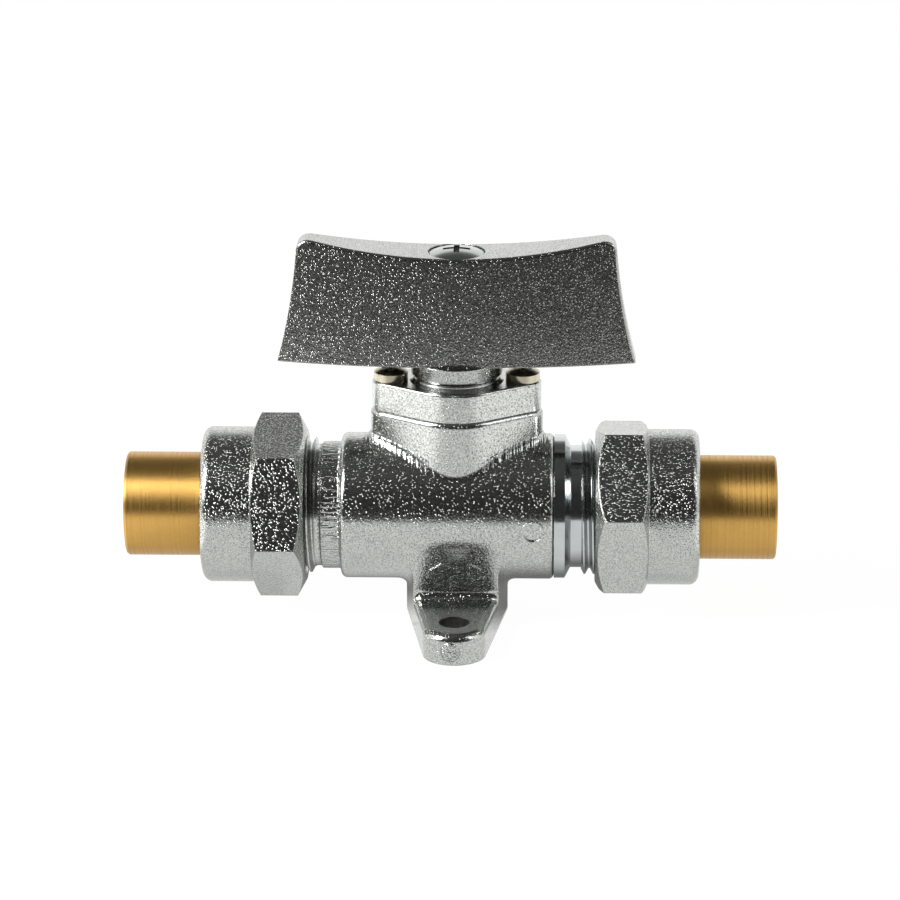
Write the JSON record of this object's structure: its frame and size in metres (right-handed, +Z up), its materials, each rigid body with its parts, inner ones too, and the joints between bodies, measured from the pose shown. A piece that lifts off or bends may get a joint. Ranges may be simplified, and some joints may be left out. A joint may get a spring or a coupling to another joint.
{
  "type": "quarter-turn ball valve",
  "caption": "Straight quarter-turn ball valve with a wing handle, a union nut and solder tail at each end, and a two-hole mounting foot.",
  "frame": {"origin": "centre of the foot's flat base, under the stem axis", "axes": "+X along the pipe, +Y to the rear foot hole, +Z up the stem"},
  "size_m": [0.1261, 0.0596, 0.0759],
  "materials": {
    "plated_forging": "shot-blasted forging, bright plated",
    "plated_handle": "shot-blasted casting, bright plated",
    "plated_nut": "shot-blasted forging, bright plated",
    "plated_turning": "turned, bright plated",
    "polished_ball": "polished",
    "raw_brass": "fine turned, bare",
    "stem_brass": "turned, bare",
    "screw_steel": "zinc plated",
    "handle_screw_plate": "bright plated",
    "ptfe": "satin",
    "seal_rubber": "matte",
    "gasket_fibre": "matte fibre"
  },
  "bodies": {
    "valve": {"valve_body": "plated_forging", "end_piece": "plated_turning", "end_piece_seal": "ptfe", "seat_left": "ptfe", "seat_right": "ptfe", "bonnet": "plated_forging", "bonnet_seal": "seal_rubber", "bonnet_screw_left": "screw_steel", "bonnet_screw_right": "screw_steel", "thrust_washer": "ptfe"},
    "handle": {"handle": "plated_handle", "handle_screw": "handle_screw_plate", "stem": "stem_brass", "ball": "polished_ball", "stem_o_ring_lower": "seal_rubber", "stem_o_ring_upper": "seal_rubber"},
    "tail_left": {"tail_left": "raw_brass", "gasket_left": "gasket_fibre"},
    "nut_left": {"union_nut_left": "plated_nut"},
    "tail_right": {"tail_right": "raw_brass", "gasket_right": "gasket_fibre"},
    "nut_right": {"union_nut_right": "plated_nut"}
  },
  "joints": [
    {"name": "handle_turn", "type": "hinge", "parent": "valve", "child": "handle", "pos_m": [0, 0, 0.0216], "axis": [0, 0, -1], "range_deg": [0, 90]},
    {"name": "tail_left_draw", "type": "slide", "parent": "valve", "child": "tail_left", "axis": [-1, 0, 0], "range_m": [0, 0.01272]},
    {"name": "nut_left_turn", "type": "hinge", "parent": "tail_left", "child": "nut_left", "pos_m": [-0.045, 0, 0.0216], "axis": [-1, 0, 0], "range_deg": [0, 2520]},
    {"name": "tail_right_draw", "type": "slide", "parent": "valve", "child": "tail_right", "axis": [1, 0, 0], "range_m": [0, 0.01272]},
    {"name": "nut_right_turn", "type": "hinge", "parent": "tail_right", "child": "nut_right", "pos_m": [0.045, 0, 0.0216], "axis": [1, 0, 0], "range_deg": [0, 2520]}
  ],
  "couplings": [
    {"joint": "tail_left_draw", "follows": "nut_left_turn", "m_per_rad": 0.00028875},
    {"joint": "tail_right_draw", "follows": "nut_right_turn", "m_per_rad": 0.00028875}
  ]
}
